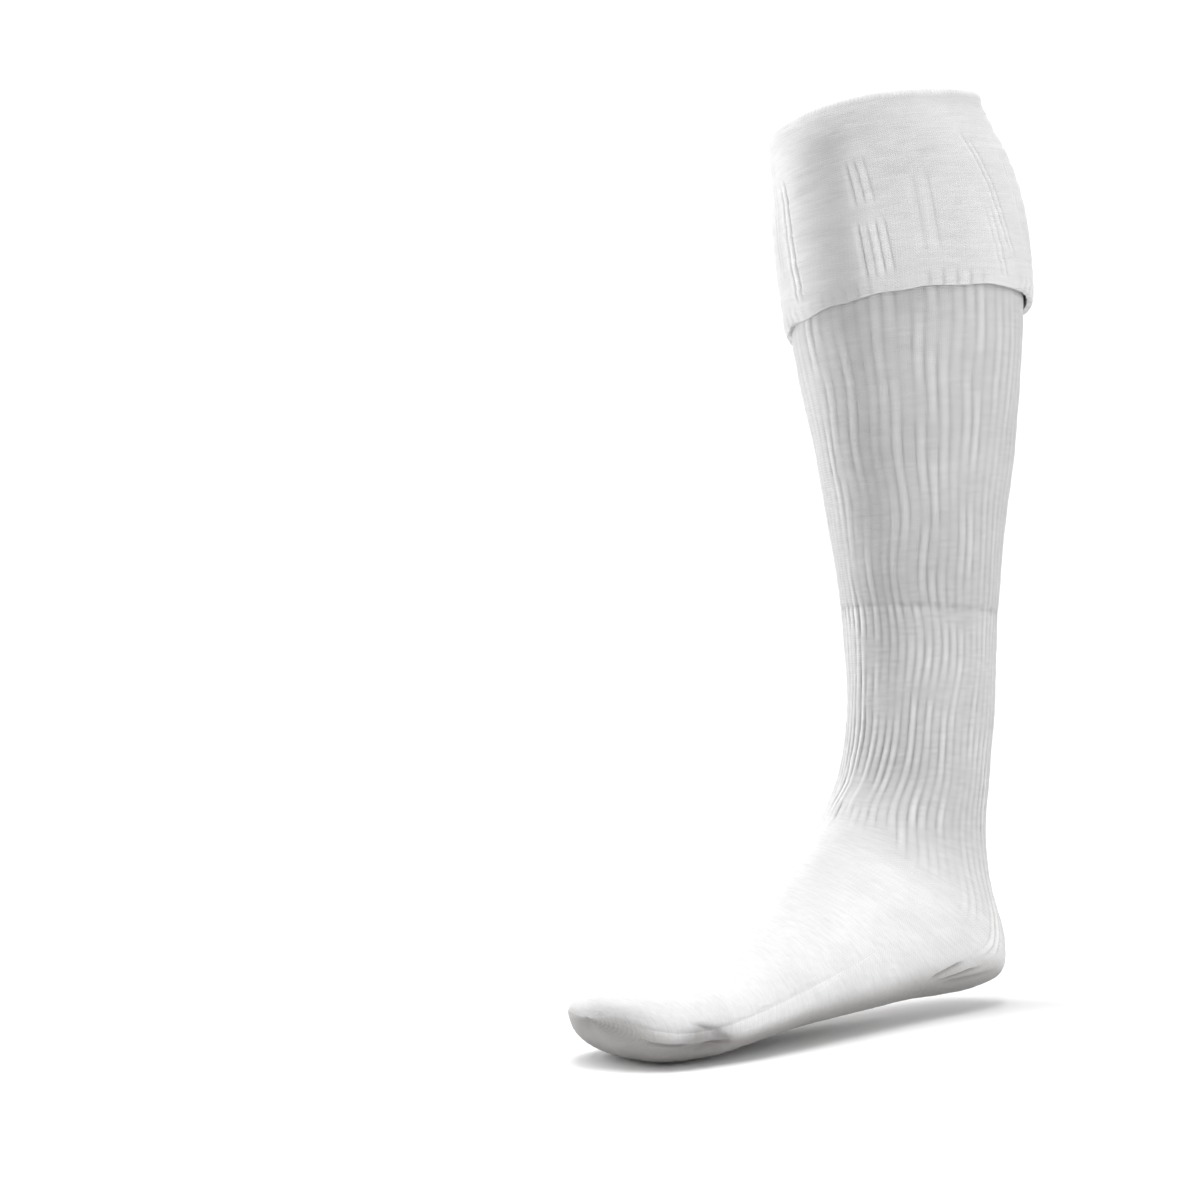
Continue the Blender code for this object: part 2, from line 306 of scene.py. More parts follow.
# %% [markdown]
# Where the machine changes from faint to deep ribs it transfers stitches, which leaves a thin
# line around the leg with a small dimple in every second valley.

# %% The band where the ribs change
RIB_PAIR, DIMPLE_REACH, DIMPLE_DEPTH = 0.0088, 0.0013, 0.0009


def band_dimples(along, angle):
    off = along - band_line(angle)
    phase = angle * RIBS / (4 * math.pi)
    across = (phase - np.round(phase)) * RIB_PAIR
    rng = np.random.default_rng(23)
    size = rng.uniform(0.1, 1.0, RIBS)[np.round(phase).astype(int) % RIBS]
    round_dip = np.exp(-(off / DIMPLE_REACH) ** 2 - (across / DIMPLE_REACH) ** 2)
    return -DIMPLE_DEPTH * size * round_dip - 0.00016 * np.exp(-(off / 0.0012) ** 2)


# %% [markdown]
# The front of the ankle bends with every step, so the ribs there gather into soft folds. A
# long hollow runs down beside the shin, and where the heel and the little toe turn under, the
# knit is pinched into short creases. They are cut in like a sculptor's tool marks: each row of
# the table is one mark, with its place, its length, its breadth, its slant and its depth.

# %% Soft folds at the front of the ankle
FOLD_DEPTH = 0.00035


def ankle_folds(along, angle):
    ends = rib_end(angle)
    inside = step(along, BAND + 0.008, BAND + 0.03) * (1 - step(along, ends - 0.02, ends))
    front = np.exp(-(turned(angle, 172) / 30) ** 2)
    sway = 4.0 * np.sin((along - BAND) / 0.03)
    gathered = np.cos(np.radians(turned(angle, 178) + sway) * RIBS / 2.1)
    return FOLD_DEPTH * inside * front * gathered


# %% The long hollow beside the shin, steep towards the outer side
SHIN_ANGLE, SHIN_DEPTH = 147.0, 0.0018


def shin_hollow(along, angle):
    ridge = SHIN_ANGLE - 7.0 * along / BAND
    off = turned(angle, ridge)
    rise = step(off, -5.0, 13.0) * (1 - step(off, 13.0, 42.0))
    return -SHIN_DEPTH * rise * (1 - step(along, BAND - 0.01, BAND + 0.06))


# %% Creases at the heel and at the little toe
CREASES = (
    # share of the way along, degrees, length mm, breadth mm, slant degrees, depth mm
    (0.7120, 56.0, 18.0, 1.3, -18.0, -2.0),
    (0.7060, 48.5, 19.0, 1.3, -2.0, -1.8),
    (0.7090, 52.0, 17.0, 1.5, -10.0, 1.0),
    (0.7010, 41.0, 22.0, 1.8, 8.0, -1.2),
    (0.7000, 64.0, 20.0, 4.0, -14.0, 1.1),
    (0.9740, 71.5, 16.0, 1.6, -20.0, -1.2),
    (0.9390, 91.0, 20.0, 1.7, 40.0, -1.2),
    (0.9430, 74.0, 24.0, 9.0, 30.0, -1.5),
    (0.9350, 72.0, 13.0, 1.7, 14.0, -1.4),
    (0.9450, 60.0, 11.0, 1.8, -34.0, -1.2),
    (0.9280, 60.0, 12.0, 2.4, 62.0, 0.9),
    (0.9530, 79.0, 12.0, 2.4, -10.0, 0.8),
)


def creases(along, angle):
    total = np.zeros_like(along)
    rings = ring_at(np.clip(along, 0.0, LENGTH))
    reach = (np.hypot(rings[:, 2] - rings[:, 0], rings[:, 3] - rings[:, 1]) / 2 + rings[:, 4]) / 2
    for where, centre, length, breadth, slant, depth in CREASES:
        x = np.radians(turned(angle, centre)) * reach * 1000
        y = (along - where * LENGTH) * 1000
        s, c = math.sin(math.radians(slant)), math.cos(math.radians(slant))
        lengthways, across = y * c + x * s, x * c - y * s
        across = across + 0.06 * lengthways ** 2 / length
        total += depth / 1000 * np.exp(-(lengthways / length * 1.8) ** 4 - (across / breadth) ** 2)
    return total


# %% [markdown]
# The plain knit of the foot is pulled sideways by the toes, so long soft wrinkles cross its
# inner side. With them the leg and foot have every height that their surface needs, and one
# function adds the heights up: the seam of the toe, the unevenness of the yarn and the rest.

# %% Long wrinkles where the foot's inner side is pulled
WRINKLE_DEPTH = 0.00045


def foot_wrinkles(along, angle):
    on_foot = step(along, BORDER - 0.03, BORDER + 0.02)
    on_foot = on_foot * (1 - step(along, TOE_SEAM - 0.01, TOE_SEAM + 0.02))
    side = np.exp(-(turned(angle, -100) / 40) ** 2)
    side = side + 0.35 * np.exp(-(turned(angle, 95) / 35) ** 2)
    slide = angle * 9 + along * 46
    return WRINKLE_DEPTH * on_foot * side * np.cos(slide + 0.8 * waver(along, angle, 2, 0.09, 31))


# %% The whole relief of the leg and foot
ROUGHNESS, SOFT_WAVES = 0.00007, 0.00022
SEAM_HEIGHT, SEAM_REACH = 0.0004, 0.0011


def tube_relief(along, angle):
    rough = ROUGHNESS * waver(along, angle, 60, 0.004, 41, 30)
    soft = SOFT_WAVES * waver(along, angle, 5, 0.06, 43)
    seam = SEAM_HEIGHT * np.exp(-((along - TOE_SEAM) / SEAM_REACH) ** 2)
    seam = seam * step(np.abs(turned(angle, 0)), 60, 80)
    large = dents(along, angle) + shin_hollow(along, angle) + foot_wrinkles(along, angle)
    knit = ribs(along, angle) + band_dimples(along, angle) + ankle_folds(along, angle)
    return large + knit + creases(along, angle) + rough + soft + seam


# %% [markdown]
# Relief alone doesn't make knit as dark as it looks between deep ribs, and hardly any light
# reaches the sole. So each corner keeps two numbers of painted shade for the material to read:
# how dark its valley is painted, and how far it belongs to the sole, which is painted darker.

# %% Painted shade in the valleys and under the sole
LEAST_DARK, RIBBED_PAINTED_SHADE, BENT_TOE_PAINTED_SHADE = 0.06, 0.62, 0.5


def painted_shade(along, angle):
    """Painted shade from 0 to 1: some over the ribbed part, more in valleys, hollows and creases.
    """
    ends = rib_end(angle)
    ribbed = RIBBED_PAINTED_SHADE * (1 - step(along, ends - 0.055, ends + 0.02))
    low = -(ribs(along, angle) + band_dimples(along, angle)) / 0.0010
    low = low - shin_hollow(along, angle) / 0.0080
    pinched = np.clip(-creases(along, angle), 0, 1) / 0.0013
    return np.clip(LEAST_DARK + ribbed + low + pinched, 0, 1)


def sole(along, angle):
    """Painted shade where the knit looks down, 0 on the sides to 1 under the foot, and under the
    bent toe.
    """
    along = np.minimum(along, LENGTH - SIDE_STEP)
    on_foot = step(along, ALONG[len(LEG_RINGS) + 1], ALONG[len(LEG_RINGS) + 3])
    low = 0.12 - 0.50 * step(along, TOE_SEAM - 0.01, LENGTH)
    looks_down = step(-outward(along, angle)[:, 2], low, 0.85)
    off, aside = (along - 0.943 * LENGTH) / 0.013, turned(angle, 74) / 20
    bent_toe = BENT_TOE_PAINTED_SHADE * np.exp(-off ** 2 - aside ** 2)
    return np.clip(on_foot * looks_down + bent_toe, 0, 1)


# %% [markdown]
# ## Making a knitted tube
#
# Each section starts as an open cylinder, as a knitted tube comes off the machine. Its upright
# edges are cut into many short lengths in edit mode, and then every corner is carried to its
# place on the skin. Solidify gives the wall its thickness at the end.

# %% A finely divided open cylinder
def clear_selection():
    if bpy.context.mode != "OBJECT":
        bpy.ops.object.mode_set(mode="OBJECT")
    bpy.ops.object.select_all(action="DESELECT")


def take_up(piece):
    """Makes a piece the only selected one, ready for the next operator."""
    clear_selection()
    piece.select_set(True)
    bpy.context.view_layer.objects.active = piece


def divided_cylinder(name, around, rows):
    clear_selection()
    bpy.ops.mesh.primitive_cylinder_add(
        vertices=around, radius=1.0, depth=2.0, end_fill_type="NOTHING")
    tube = bpy.context.object
    tube.name = name
    tube.data.name = name
    mesh = tube.data
    bpy.ops.object.mode_set(mode="EDIT")
    bpy.ops.mesh.select_all(action="DESELECT")
    bpy.ops.mesh.select_mode(type="EDGE")
    bpy.ops.object.mode_set(mode="OBJECT")
    for edge in mesh.edges:
        a, b = (mesh.vertices[i].co for i in edge.vertices)
        edge.select = abs(a.z - b.z) > 0.5
    bpy.ops.object.mode_set(mode="EDIT")
    bpy.ops.mesh.subdivide(number_cuts=rows - 1)
    bpy.ops.object.mode_set(mode="OBJECT")
    return tube


# %% Reading and writing a mesh's corners at once
def corners(mesh):
    flat = np.empty(len(mesh.vertices) * 3)
    mesh.vertices.foreach_get("co", flat)
    return flat.reshape(-1, 3)


def move_corners(mesh, points):
    mesh.vertices.foreach_set("co", points.ravel())
    mesh.update()


# %% [markdown]
# The stitches need a map of their own that counts columns (wales) across and rows (courses)
# down, so that a stitch keeps its shape wherever the knit is stretched. Whole stitches meet at
# the map's cut. Soft unevenness has no whole stitches, so it reads the same counts rolled into
# a tube, which has no cut at all.

# %% A map that counts stitches
WALES = 168
COURSE = 0.00125


def count_stitches(mesh, along, angle):
    layer = mesh.uv_layers.new(name="Stitches")
    mesh.uv_layers.active = layer
    corner_of = np.empty(len(mesh.loops), int)
    mesh.loops.foreach_get("vertex_index", corner_of)
    starts = np.empty(len(mesh.polygons), int)
    sizes = np.empty(len(mesh.polygons), int)
    mesh.polygons.foreach_get("loop_start", starts)
    mesh.polygons.foreach_get("loop_total", sizes)
    first = np.repeat(angle[corner_of[starts]], sizes)
    a = angle[corner_of]
    a = np.where(a - first > math.pi, a - 2 * math.pi, a)
    a = np.where(a - first < -math.pi, a + 2 * math.pi, a)
    turns = WALES / (2 * math.pi)
    uv = np.stack([a * turns, -along[corner_of] / COURSE], axis=1)
    layer.data.foreach_set("uv", uv.ravel())
    rolled = np.stack([np.cos(angle) * turns, np.sin(angle) * turns, -along / COURSE], axis=1)
    roll = mesh.attributes.new(name="rolled", type="FLOAT_VECTOR", domain="POINT")
    roll.data.foreach_set("vector", rolled.astype(np.float32).ravel())


def remember(mesh, name, values):
    """Keeps a number for each corner, for a material to read."""
    layer = mesh.attributes.new(name=name, type="FLOAT", domain="POINT")
    layer.data.foreach_set("value", values.astype(np.float32))


# %% [markdown]
# A sheet has no thickness until Solidify gives it one. The sides are then shaded smooth, and
# only the sharp turn at a rim stays an edge.

# %% Thickness and smooth shading
RIM_TURN = math.radians(60)


def apply_all(piece):
    take_up(piece)
    for modifier in list(piece.modifiers):
        bpy.ops.object.modifier_apply(modifier=modifier.name)


def smooth_but_for_rims(piece):
    take_up(piece)
    bpy.ops.object.shade_smooth_by_angle(angle=RIM_TURN)


def thicken(piece, wall):
    """Grows the wall inwards, since the skin is the outside of the knit."""
    solidify = piece.modifiers.new("Wall", "SOLIDIFY")
    solidify.thickness = wall
    solidify.offset = -1.0
    solidify.use_even_offset = False
    apply_all(piece)
    smooth_but_for_rims(piece)


# %% [markdown]
# One function shapes every section of the leg and foot. A straight cylinder gives each corner
# an angle and a share of the way down, and the two border lines turn that share into a place
# along the sock.

# %% A knitted tube between two lines around the sock
def shape_tube(tube, start, end):
    mesh = tube.data
    points = corners(mesh)
    angle = np.arctan2(points[:, 0], points[:, 1])
    share = (1 - points[:, 2]) / 2
    along = start(angle) * (1 - share) + end(angle) * share
    placed = bare_skin(along, angle) + outward(along, angle) * tube_relief(along, angle)[:, None]
    move_corners(mesh, placed)
    count_stitches(mesh, along, angle)
    remember(mesh, "valley", painted_shade(along, angle))
    remember(mesh, "sole", sole(along, angle))


def line_at(along):
    """A line straight around the sock."""
    return lambda angle: along + 0 * angle


# %% Body, volume and the solid that a section stands for
def dress(piece, node):
    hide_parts(node)
    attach(piece, "root")
    form = bmesh.new()
    form.from_mesh(piece.data)
    volume = form.calc_volume(signed=True)
    form.free()
    triangles = sum(len(face.vertices) - 2 for face in piece.data.polygons)
    print(piece.name, "for", node, triangles, "triangles,", round(volume * 1e6, 1), "ml of knit")


# %% [markdown]
# The leg of the real sock is one long tube. Here it is three: the calf from behind the cuff to
# the band, the ankle with the heel, and the plain foot. They share the rows where they meet,
# so the knit runs on without a step. The ribbed tubes need the finest division: nine columns
# of corners to a rib.

# %% The calf
RIBBED_AROUND, PLAIN_AROUND = 9 * RIBS, 6 * RIBS
calf = divided_cylinder("calf_knit", RIBBED_AROUND, rows=64)
shape_tube(calf, line_at(CALF_TOP), band_line)
thicken(calf, LEG_WALL)
dress(calf, "calf")

# %% The ankle and the heel
ankle = divided_cylinder("ankle_knit", RIBBED_AROUND, rows=92)
shape_tube(ankle, band_line, line_at(BORDER))
thicken(ankle, LEG_WALL)
dress(ankle, "ankle_and_heel")

# %% The foot
foot = divided_cylinder("foot_knit", PLAIN_AROUND, rows=90)
shape_tube(foot, line_at(BORDER), line_at(TOE_SEAM))
thicken(foot, FOOT_WALL)
dress(foot, "foot")

# %% [markdown]
# ## The toe
#
# The toe is a pocket, closed in front. It is made like the other tubes, with the last stretch
# drawn in to a point, and its end is closed and smoothed so that no corner shows at the tip.

# %% Drawing the last rows in to the tip
TIP = np.array([RINGS[-1][5], -TOE_REACH, (RINGS[-1][1] + RINGS[-1][3]) / 2])
TIP_STRETCH, PAST_END = 0.010, 0.0095


def draw_in(mesh, along):
    """Moves the corners that lie past the last ring, and leaves the others."""
    points = corners(mesh)
    pull = np.clip((along - LENGTH) / TIP_STRETCH, 0, 1)[:, None]
    inward = (TIP - points) * np.array([1, 0, 1])
    forward = np.array([0, TIP[1] - RINGS[-1][0], 0])
    moved = points + inward * pull + forward * (2 * pull - pull ** 2)
    move_corners(mesh, np.where(pull > 0, moved, points))


# %% The toe cap
toe = divided_cylinder("toe_knit", PLAIN_AROUND, rows=44)
mesh = toe.data
points = corners(mesh)
angle = np.arctan2(points[:, 0], points[:, 1])
share = (1 - points[:, 2]) / 2
along = TOE_SEAM + (LENGTH + PAST_END - TOE_SEAM) * share
held = np.minimum(along, LENGTH)
facing = outward(np.minimum(held, LENGTH - SIDE_STEP), angle)
move_corners(mesh, bare_skin(held, angle) + facing * tube_relief(held, angle)[:, None])
draw_in(mesh, along)
count_stitches(mesh, along, angle)
remember(mesh, "valley", painted_shade(held, angle))
remember(mesh, "sole", sole(held, angle))
print("the toe's tip lies at", [round(float(v) * 1000) for v in TIP], "mm")

# %% [markdown]
# A real toe is closed by a seam that leaves no hole. Here the last row of corners is merged
# into one, and the rows behind it are relaxed, as cloth is when it is pulled over a fingertip.

# %% Merging the last row and smoothing the tip
take_up(toe)
last = along > LENGTH + PAST_END - 0.0001
bpy.ops.object.mode_set(mode="EDIT")
bpy.ops.mesh.select_mode(type="VERT")
bpy.ops.mesh.select_all(action="DESELECT")
bpy.ops.object.mode_set(mode="OBJECT")
mesh.vertices.foreach_set("select", last)
bpy.ops.object.mode_set(mode="EDIT")
bpy.ops.mesh.merge(type="CENTER")
bpy.ops.mesh.select_all(action="DESELECT")
bpy.ops.object.mode_set(mode="OBJECT")
tip_zone = corners(mesh)[:, 1] < RINGS[-2][0] + 0.002
mesh.vertices.foreach_set("select", tip_zone)
bpy.ops.object.mode_set(mode="EDIT")
bpy.ops.mesh.vertices_smooth(factor=0.5, repeat=12)
bpy.ops.object.mode_set(mode="OBJECT")
thicken(toe, FOOT_WALL)
dress(toe, "toe_cap")

# %% [markdown]
# ## The turned-over cuff
#
# The cuff is the top of the same tube, folded down over itself. One strip of knit runs up
# inside, over the fold and down outside, and ends in a thicker welt. The path below gives the
# strip's place row by row: more rows lie in the fold and outside, where they are seen.

# %% The path of the folded strip
INSIDE_ROWS, FOLD_ROWS, OUTSIDE_ROWS = 20, 12, 62
FOLD_RADIUS = (CUFF_AIR + CUFF_WALL) / 2
CROWN = CUFF_WALL / 2 + FOLD_RADIUS
INNER, OUTER = -CUFF_WALL / 2, CUFF_AIR + CUFF_WALL / 2


def cuff_path():
    """Each row: place along the sock, distance aside, height over the crown, share of the drop."""
    rows = []
    for k in range(INSIDE_ROWS):
        rows.append((CALF_TOP + (CROWN - CALF_TOP) * k / INSIDE_ROWS, INNER, 0.0, 0.0))
    for k in range(FOLD_ROWS + 1):
        turn = math.pi * (1 - k / FOLD_ROWS)
        aside = (INNER + OUTER) / 2 + FOLD_RADIUS * math.cos(turn)
        rows.append((CROWN, aside, FOLD_RADIUS * math.sin(turn), 0.0))
    for k in range(1, OUTSIDE_ROWS + 1):
        share = k / OUTSIDE_ROWS
        rows.append((CROWN + (CUFF_EDGE - CROWN) * share, OUTER, 0.0, share))
    return np.array(rows)


PATH = cuff_path()
print("rows in the folded strip:", len(PATH))

# %% [markdown]
# The turned-down side is smooth, with a few groups of thin sunk lines. No two lines are quite
# alike, so each draws its strength and its ends at random within the bounds of its group.

# %% Groups of sunk lines on the cuff
CUFF_LINES = (
    # degrees at mid drop, turn down the drop, how many, degrees between, depth mm, from, to
    (144.0, -11.0, 3, 4.2, 0.62, 0.28, 0.55),
    (143.5, -10.0, 4, 4.0, 0.62, 0.63, 0.93),
    (83.0, -28.0, 2, 3.2, 0.60, 0.20, 0.86),
    (89.0, -20.0, 2, 3.6, 0.40, 0.60, 0.97),
    (189.5, -12.5, 2, 4.2, 0.55, 0.24, 0.96),
    (201.0, -8.0, 2, 3.4, 0.40, 0.10, 0.80),
    (118.0, -6.0, 2, 6.5, 0.30, 0.40, 0.86),
    (62.0, -22.0, 3, 3.0, 0.50, 0.30, 1.00),
    (30.0, -6.0, 3, 3.4, 0.50, 0.25, 0.95),
    (-12.0, 0.0, 3, 3.8, 0.50, 0.10, 0.90),
    (-60.0, 5.0, 4, 3.4, 0.55, 0.20, 1.00),
    (-104.0, 8.0, 3, 4.0, 0.55, 0.35, 0.98),
    (-136.0, 4.0, 3, 3.4, 0.50, 0.15, 0.95),
)
LINE_FADE, LINE_BREADTH = 0.03, 0.65


def cuff_lines(down, angle):
    rng = np.random.default_rng(91)
    total = np.zeros_like(down)
    for centre, slant, count, pitch, depth, top, low in CUFF_LINES:
        for k in range(count):
            strong, later, sooner = rng.uniform((0.5, 0.0, 0.0), (1.0, 0.10, 0.10))
            starts, ends = top + later * (low - top), low - sooner * (low - top)
            inside = step(down, starts - LINE_FADE, starts + LINE_FADE)
            inside = inside * (1 - step(down, ends - LINE_FADE, ends + LINE_FADE))
            middle = centre + slant * (down - 0.5) + (k - (count - 1) / 2) * pitch
            off = turned(angle, middle)
            height = strong * depth / 1000 * inside
            total -= height * np.exp(-(off / LINE_BREADTH) ** 2)
            total += 0.4 * height * np.exp(-((off - pitch / 2) / 1.0) ** 2)
    return total


# %% [markdown]
# Fine uneven rows cross the cuff. The welt stands out a little under a thin groove, and the
# ribs on the leg show through it as small notches. One short sunk bar lies just above it.

# %% The welt and the fine rows
FINE_ROWS, BROAD_ROWS, SLOW_WAVES = 0.00010, 0.00016, 0.0006
WELT_TOP, WELT_HEIGHT, GROOVE, NOTCH = 0.945, 0.00035, 0.0004, 0.0003
BAR_DOWN, BAR_ANGLE, BAR_DEPTH = 0.925, 141.5, 0.0006


def welt_notches(down, angle):
    """Small pinches above the edge, one to a rib, stronger on some sides than on others."""
    across = (angle * RIBS / (2 * math.pi)) % 1 - 0.5
    strong = np.clip(0.7 + 0.6 * waver(0 * angle, angle, 9, 1.0, 73, 12), 0.1, 1.6)
    return -NOTCH * strong * step(down, 0.90, 0.97) * np.exp(-across ** 2 / 0.03)


def cuff_relief(down, drop, angle):
    courses = FINE_ROWS * waver(drop, angle, 9, 0.0032, 61, 30)
    rows = BROAD_ROWS * waver(drop, angle, 3, 0.009, 63, 20)
    soft = SLOW_WAVES * waver(drop, angle, 3, 0.11, 67)
    welt = WELT_HEIGHT * step(down, WELT_TOP, WELT_TOP + 0.01)
    groove = -GROOVE * np.exp(-((down - WELT_TOP) / 0.008) ** 2)
    below, beside = (down - BAR_DOWN) / 0.009, turned(angle, BAR_ANGLE) / 7.0
    bar = -BAR_DEPTH * np.exp(-below ** 2 - beside ** 4)
    hollow = shin_hollow(drop, angle) * step(down, 0.05, 0.25)
    lines = cuff_lines(down, angle) + welt_notches(down, angle)
    return lines + courses + rows + soft + groove + bar + hollow + welt


# %% [markdown]
# Now the strip is laid on the skin. Its rim bows up at one side, the lower edge hangs slanted,
# and the last centimetre draws in a little, as an edge does that is knitted tighter.

# %% The rows of the cuff, slanted and bowed
EDGE_WAVE, EDGE_HUG, CUFF_AROUND = 0.00055, 0.0013, 480
cuff = divided_cylinder("cuff_knit", CUFF_AROUND, len(PATH) - 1)
mesh = cuff.data
points = corners(mesh)
angle = np.arctan2(points[:, 0], points[:, 1])
row = np.rint((1 - points[:, 2]) / 2 * (len(PATH) - 1)).astype(int)
place, aside, up, down = PATH[row].T
slant = CUFF_EDGE_SLANT / 2 * np.cos(angle - EDGE_HIGH_ANGLE)
share = (place - CROWN) / (CUFF_EDGE - CROWN)
dipped = place - np.where(aside > 0, slant * share, 0.0)
bow = np.clip(np.cos(angle - BOW_ANGLE), 0, None) ** 2
inner_share = np.clip(1 - place / CALF_TOP, 0, 1)
lift = RIM_BOW * bow * np.where(aside > 0, 1 - share, inner_share)
edge_wave = EDGE_WAVE * down ** 6 * waver(0 * angle, angle, 14, 1.0, 71, 12)
print("the rim bows up by", round(float(lift.max()) * 1000, 1), "mm")

# %% The cuff laid on the skin
out = outward(dipped, angle)
out[:, 2] = 0
out /= np.linalg.norm(out, axis=1, keepdims=True)
relief = np.where(aside > 0, cuff_relief(down, dipped, angle) * step(down, 0.0, 0.03), 0.0)
aside = aside - EDGE_HUG * step(down, 0.93, 1.0)
base = bare_skin(dipped, angle) + outward(dipped, angle) * dents(dipped, angle)[:, None]
placed = base + out * (aside + relief)[:, None]
placed[:, 2] += up + lift + edge_wave
move_corners(mesh, placed)
count_stitches(mesh, np.where(aside > 0, -dipped, dipped), angle)

# %% [markdown]
# The cuff keeps painted shade too: in the sunk lines and notches, in the hollow beside the
# shin, softly at one side of the front, and evenly on the layer inside. Its welt gets a
# thicker wall by a vertex group that Solidify reads.

# %% The painted shade of the cuff
CUFF_DARK, SIDE_PAINTED_SHADE, INSIDE_PAINTED_SHADE = 0.46, 0.30, 0.5
dark = CUFF_DARK - (cuff_lines(down, angle) + welt_notches(down, angle)) / 0.0011
dark -= shin_hollow(dipped, angle) * step(down, 0.0, 0.2) / 0.0034
dark += SIDE_PAINTED_SHADE * step(down, 0.1, 0.6) * np.exp(-(turned(angle, 205) / 24) ** 2)
dark = np.clip(np.where(aside > 0, dark, INSIDE_PAINTED_SHADE), 0, 1)
remember(mesh, "valley", dark)
print("darkness of the cuff:", round(float(dark.min()), 2), "to", round(float(dark.max()), 2))

# %% The wall and the welt of the cuff
PLAIN_SHARE = 0.78
group = cuff.vertex_groups.new(name="welt")
for index, weight in enumerate(np.where(down > WELT_TOP, 1.0, PLAIN_SHARE)):
    group.add([index], float(weight), "REPLACE")
solidify = cuff.modifiers.new("Wall", "SOLIDIFY")
solidify.thickness = CUFF_WALL / PLAIN_SHARE
solidify.offset = 0.0
solidify.vertex_group = "welt"
bevel = cuff.modifiers.new("Soft edge", "BEVEL")
bevel.width = 0.0007
bevel.segments = 2
bevel.limit_method = "ANGLE"
bevel.angle_limit = math.radians(65)
apply_all(cuff)
smooth_but_for_rims(cuff)
dress(cuff, "turnover_cuff")

# %% [markdown]
# ## The cotton
#
# White cotton isn't one flat white. Seen close, each stitch is a small V that its bump shades,
# with painted shade in the gaps between its legs. The valleys between the ribs hold less light,
# shown by their relief and by painted shade, and the yarn is a little uneven. Stitches and
# yarn are built once each, as node groups, and each section of the sock uses both with values
# of its own.

# %% Small helpers for node trees
def new_group(name, inputs, outputs):
    group = bpy.data.node_groups.new(name, "ShaderNodeTree")
    for kind, label, value in inputs:
        socket = group.interface.new_socket(name=label, in_out="INPUT", socket_type=kind)
        if value is not None:
            socket.default_value = value
    for kind, label in outputs:
        group.interface.new_socket(name=label, in_out="OUTPUT", socket_type=kind)
    return group, group.nodes.new("NodeGroupInput"), group.nodes.new("NodeGroupOutput")


def give(tree, socket, value):
    """Links a socket to another node's output, or sets it to a fixed value."""
    if isinstance(value, bpy.types.NodeSocket):
        tree.links.new(value, socket)
    else:
        socket.default_value = value


def math_node(tree, operation, *values, clamp=False):
    node = tree.nodes.new("ShaderNodeMath")
    node.operation = operation
    node.use_clamp = clamp
    for socket, value in zip(node.inputs, values):
        give(tree, socket, value)
    return node.outputs[0]


def add_share(tree, total, part, share, clamp=False):
    return math_node(tree, "ADD", total, math_node(tree, "MULTIPLY", part, share), clamp=clamp)


def noise(tree, vector, scale, detail, roughness):
    node = tree.nodes.new("ShaderNodeTexNoise")
    node.inputs["Scale"].default_value = scale
    node.inputs["Detail"].default_value = detail
    node.inputs["Roughness"].default_value = roughness
    tree.links.new(vector, node.inputs["Vector"])
    return node.outputs["Fac"]


# %% Stitches: every wale is two slanting legs, every course one row of them
def build_stitches():
    tree, given, out = new_group(
        "Knit stitches",
        [("NodeSocketVector", "Stitch map", None), ("NodeSocketFloat", "Slant", 0.9)],
        [("NodeSocketFloat", "Height"), ("NodeSocketFloat", "Gap")],
    )
    split = tree.nodes.new("ShaderNodeSeparateXYZ")
    tree.links.new(given.outputs["Stitch map"], split.inputs[0])
    wale, course = split.outputs["X"], split.outputs["Y"]
    from_middle = math_node(tree, "PINGPONG", wale, 0.5)
    across = math_node(tree, "MULTIPLY", from_middle, 2.0)
    slanted = math_node(tree, "MULTIPLY", across, given.outputs["Slant"])
    phase = math_node(tree, "ADD", course, slanted)
    wave = math_node(tree, "SINE", math_node(tree, "MULTIPLY", phase, 2 * math.pi))
    rows = math_node(tree, "MULTIPLY_ADD", wave, 0.5, 0.5)
    leg = math_node(tree, "SINE", math_node(tree, "MULTIPLY", across, math.pi))
    leg = math_node(tree, "POWER", math_node(tree, "MAXIMUM", leg, 0.0), 0.6)
    height = math_node(tree, "MULTIPLY", leg, rows)
    tree.links.new(height, out.inputs["Height"])
    # The gap is put out for painted shade between the stitch legs.
    tree.links.new(math_node(tree, "SUBTRACT", 1.0, height, clamp=True), out.inputs["Gap"])
    return tree


STITCHES = build_stitches()
print("made the group", STITCHES.name)

# %% [markdown]
# Cotton yarn is never even. It is thicker in one row than in the next, which shows as faint
# streaks around the leg, it takes up light in soft patches, and fuzz breaks up its surface.

# %% Yarn: uneven rows, soft patches and fine fuzz
PATCH_SCALE, FUZZ_SCALE = 28.0, 1700.0


def build_yarn():
    tree, given, out = new_group(
        "Cotton yarn",
        [("NodeSocketVector", "Place", None), ("NodeSocketVector", "Rolled counts", None)],
        [("NodeSocketFloat", label) for label in ("Patches", "Uneven rows", "Fuzz")],
    )
    place = given.outputs["Place"]
    tree.links.new(noise(tree, place, PATCH_SCALE, 3.0, 0.55), out.inputs["Patches"])
    stretch = tree.nodes.new("ShaderNodeMapping")
    stretch.inputs["Scale"].default_value = (0.16, 0.16, 0.8)
    tree.links.new(given.outputs["Rolled counts"], stretch.inputs["Vector"])
    tree.links.new(noise(tree, stretch.outputs[0], 1.0, 2.0, 0.6), out.inputs["Uneven rows"])
    tree.links.new(noise(tree, place, FUZZ_SCALE, 2.0, 0.7), out.inputs["Fuzz"])
    return tree


YARN = build_yarn()
print("made the group", YARN.name)

# %% What a knit is made from
def attribute(tree, name):
    node = tree.nodes.new("ShaderNodeAttribute")
    node.attribute_name = name
    return node.outputs


def fetch_stitches(tree):
    stitch_map = tree.nodes.new("ShaderNodeUVMap")
    stitch_map.uv_map = "Stitches"
    stitches = tree.nodes.new("ShaderNodeGroup")
    stitches.node_tree = STITCHES
    tree.links.new(stitch_map.outputs[0], stitches.inputs["Stitch map"])
    return stitches.outputs


